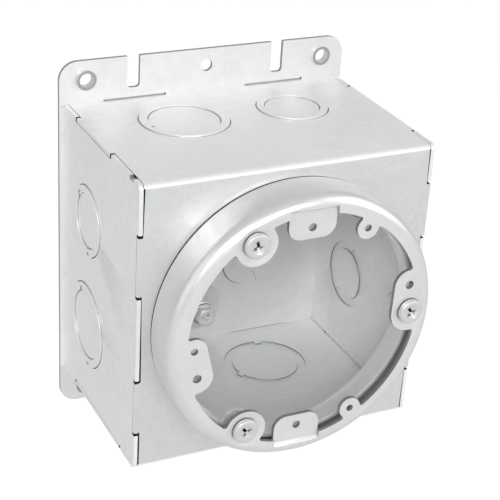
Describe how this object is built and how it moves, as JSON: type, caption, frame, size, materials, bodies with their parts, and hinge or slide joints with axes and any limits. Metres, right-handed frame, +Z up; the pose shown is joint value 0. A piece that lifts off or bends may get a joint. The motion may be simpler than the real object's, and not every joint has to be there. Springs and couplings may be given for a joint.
{
  "type": "floor box",
  "caption": "Square sheet-steel floor box with round collar, height-adjustable leveling ring, knockouts in its sides and a flat mounting plate at the rear.",
  "frame": {"origin": "centre of the back plate's rear face, which stands against what the box is fixed to", "axes": "+X to the right seen from the front, +Y towards the rear and out of the back plate, +Z up along the plate's long side; the ring faces -Y"},
  "size_m": [0.1232, 0.1003, 0.1524],
  "materials": {
    "galvanised_sheet": "galvanised, dull with a faint bloom",
    "ring_steel": "galvanised, satin",
    "screw_steel": "zinc plated, bright"
  },
  "bodies": {
    "box": {"box_body": "galvanised_sheet", "left_side_wall": "galvanised_sheet", "right_side_wall": "galvanised_sheet", "back_plate": "galvanised_sheet", "ground_screw": "screw_steel"},
    "ring": {"leveling_ring": "ring_steel", "leveling_screw_1": "screw_steel", "leveling_screw_2": "screw_steel", "leveling_screw_3": "screw_steel"}
  },
  "joints": [
    {"name": "ring_height", "type": "slide", "parent": "box", "child": "ring", "axis": [0, -1, 0], "range_m": [0, 0.0065]}
  ]
}
